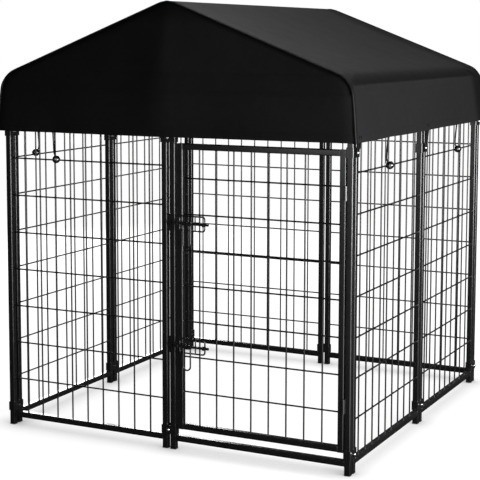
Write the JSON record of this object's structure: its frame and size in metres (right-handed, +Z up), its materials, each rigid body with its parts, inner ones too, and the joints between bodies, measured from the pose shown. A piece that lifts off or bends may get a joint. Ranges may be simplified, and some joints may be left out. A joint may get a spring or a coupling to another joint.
{
  "type": "outdoor dog kennel run",
  "caption": "Square outdoor pet run of welded wire panels clamped at their tubes, with an outward door, slide-bolt latches and a fabric gable cover.",
  "frame": {"origin": "middle of the footprint on the floor, below the middle of the cover", "axes": "+Z up, the door faces -Y, +X to the right of someone who faces the door"},
  "size_m": [1.258, 1.314, 1.3987],
  "materials": {
    "powder_coat": "satin black powder coat",
    "zinc": "bright zinc plate",
    "cap_plastic": "moulded black plastic",
    "cover_fabric": "coated black polyester weave",
    "elastic_cord": "braided black elastic",
    "ball_plastic": "glossy black plastic"
  },
  "bodies": {
    "kennel": {"front_left_panel": "powder_coat", "right_front_panel": "powder_coat", "right_rear_panel": "powder_coat", "back_right_panel": "powder_coat", "back_left_panel": "powder_coat", "left_rear_panel": "powder_coat", "left_front_panel": "powder_coat", "door_surround": "powder_coat", "hinge_frame_leaves": "powder_coat", "hinge_pins": "powder_coat", "upper_keeper": "powder_coat", "lower_keeper": "powder_coat", "clamp_outer_plates": "powder_coat", "clamp_inner_plates": "powder_coat", "clamp_bolts": "zinc", "clamp_nuts": "zinc", "foot_caps": "cap_plastic", "top_plugs": "cap_plastic", "front_left_arch": "powder_coat", "front_right_arch": "powder_coat", "rear_left_arch": "powder_coat", "rear_right_arch": "powder_coat", "front_ridge_connector": "powder_coat", "rear_ridge_connector": "powder_coat", "ridge_pole": "powder_coat", "cover_roof_sheet": "cover_fabric", "cover_front_gable": "cover_fabric", "cover_rear_gable": "cover_fabric", "tie_cords": "elastic_cord", "tie_balls": "ball_plastic", "hem_loops": "elastic_cord"},
    "door": {"door_leaf": "powder_coat", "hinge_door_leaves": "powder_coat", "upper_latch_cage": "powder_coat", "lower_latch_cage": "powder_coat"},
    "upper_bolt": {"upper_latch_rod": "powder_coat"},
    "lower_bolt": {"lower_latch_rod": "powder_coat"},
    "upper_handle": {"upper_latch_handle": "powder_coat"},
    "lower_handle": {"lower_latch_handle": "powder_coat"}
  },
  "joints": [
    {"name": "door_swing", "type": "hinge", "parent": "kennel", "child": "door", "pos_m": [0.589, -0.6422, 0.5165], "axis": [0, 0, 1], "range_deg": [0, 170]},
    {"name": "upper_bolt_slide", "type": "slide", "parent": "door", "child": "upper_bolt", "axis": [-1, 0, 0], "range_m": [0, 0.014]},
    {"name": "lower_bolt_slide", "type": "slide", "parent": "door", "child": "lower_bolt", "axis": [-1, 0, 0], "range_m": [0, 0.014]},
    {"name": "upper_handle_turn", "type": "hinge", "parent": "upper_bolt", "child": "upper_handle", "pos_m": [0.0735, -0.649, 0.7195], "axis": [-1, 0, 0], "range_deg": [0, 170]},
    {"name": "lower_handle_turn", "type": "hinge", "parent": "lower_bolt", "child": "lower_handle", "pos_m": [0.0735, -0.649, 0.336], "axis": [-1, 0, 0], "range_deg": [0, 170]}
  ]
}
